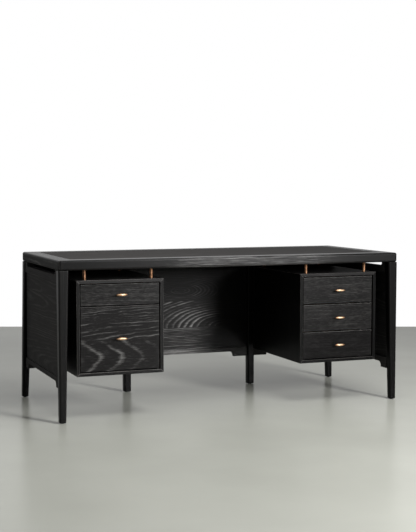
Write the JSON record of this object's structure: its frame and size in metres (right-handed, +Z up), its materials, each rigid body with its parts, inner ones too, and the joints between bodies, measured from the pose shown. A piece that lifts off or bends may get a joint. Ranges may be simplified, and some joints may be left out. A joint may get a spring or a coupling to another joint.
{
  "type": "executive desk",
  "caption": "Executive desk with a framed top on tapered legs, panelled sides and back, a knee space and hung drawer cases with drawers that slide out.",
  "frame": {"origin": "on the floor, under the middle of the top", "axes": "+X along the top to the right as seen from the front, +Y to the back, +Z up; the drawers open towards -Y"},
  "size_m": [1.8258, 0.785, 0.768],
  "materials": {
    "top_panel": "black-stained oak veneer, matte lacquer",
    "top_border": "black-stained open-grain oak, satin",
    "leg": "black-stained open-grain oak, satin",
    "rail": "black-stained open-grain oak, satin",
    "panel": "black-stained oak veneer, satin",
    "case": "black-stained open-grain oak, satin",
    "drawer_front": "black-stained oak veneer, satin",
    "drawer_box": "clear-lacquered pale plywood",
    "dowel_wood": "bare beech",
    "pull_brass": "brushed warm brass",
    "peg_brass": "brushed warm brass",
    "bolt_steel": "zinc plated",
    "runner_steel": "zinc plated",
    "glide_plastic": "moulded nylon"
  },
  "bodies": {
    "desk": {"back_center_bottom_rail": "rail", "back_center_panel": "panel", "back_left_bottom_rail": "rail", "back_left_panel": "panel", "back_right_bottom_rail": "rail", "back_right_panel": "panel", "back_top_rails": "rail", "case_pegs": "peg_brass", "case_runners": "runner_steel", "left_case_back": "case", "left_case_bottom": "case", "left_case_inner_side": "case", "left_case_outer_side": "case", "left_case_top": "case", "leg_dowels": "dowel_wood", "leg_front_left": "leg", "leg_front_right": "leg", "leg_glides": "glide_plastic", "leg_mid_left": "leg", "leg_mid_right": "leg", "leg_rear_left": "leg", "leg_rear_right": "leg", "peg_bolts": "bolt_steel", "right_case_back": "case", "right_case_bottom": "case", "right_case_inner_side": "case", "right_case_outer_side": "case", "right_case_top": "case", "side_left_bottom_rail": "rail", "side_left_panel": "panel", "side_left_top_rail": "rail", "side_right_bottom_rail": "rail", "side_right_panel": "panel", "side_right_top_rail": "rail", "top_front_rail": "top_border", "top_left_rail": "top_border", "top_panel": "top_panel", "top_rear_rail": "top_border", "top_right_rail": "top_border"},
    "drawer_left_upper": {"drawer_left_upper_front": "drawer_front", "drawer_left_upper_box": "drawer_box", "drawer_left_upper_slides": "runner_steel", "drawer_left_upper_pull": "pull_brass"},
    "drawer_left_lower": {"drawer_left_lower_front": "drawer_front", "drawer_left_lower_box": "drawer_box", "drawer_left_lower_slides": "runner_steel", "drawer_left_lower_pull": "pull_brass"},
    "drawer_right_lower": {"drawer_right_lower_front": "drawer_front", "drawer_right_lower_box": "drawer_box", "drawer_right_lower_slides": "runner_steel", "drawer_right_lower_pull": "pull_brass"},
    "drawer_right_middle": {"drawer_right_middle_front": "drawer_front", "drawer_right_middle_box": "drawer_box", "drawer_right_middle_slides": "runner_steel", "drawer_right_middle_pull": "pull_brass"},
    "drawer_right_upper": {"drawer_right_upper_front": "drawer_front", "drawer_right_upper_box": "drawer_box", "drawer_right_upper_slides": "runner_steel", "drawer_right_upper_pull": "pull_brass"}
  },
  "joints": [
    {"name": "drawer_left_upper_slide", "type": "slide", "parent": "desk", "child": "drawer_left_upper", "axis": [0, -1, 0], "range_m": [0, 0.38]},
    {"name": "drawer_left_lower_slide", "type": "slide", "parent": "desk", "child": "drawer_left_lower", "axis": [0, -1, 0], "range_m": [0, 0.38]},
    {"name": "drawer_right_lower_slide", "type": "slide", "parent": "desk", "child": "drawer_right_lower", "axis": [0, -1, 0], "range_m": [0, 0.38]},
    {"name": "drawer_right_middle_slide", "type": "slide", "parent": "desk", "child": "drawer_right_middle", "axis": [0, -1, 0], "range_m": [0, 0.38]},
    {"name": "drawer_right_upper_slide", "type": "slide", "parent": "desk", "child": "drawer_right_upper", "axis": [0, -1, 0], "range_m": [0, 0.38]}
  ]
}
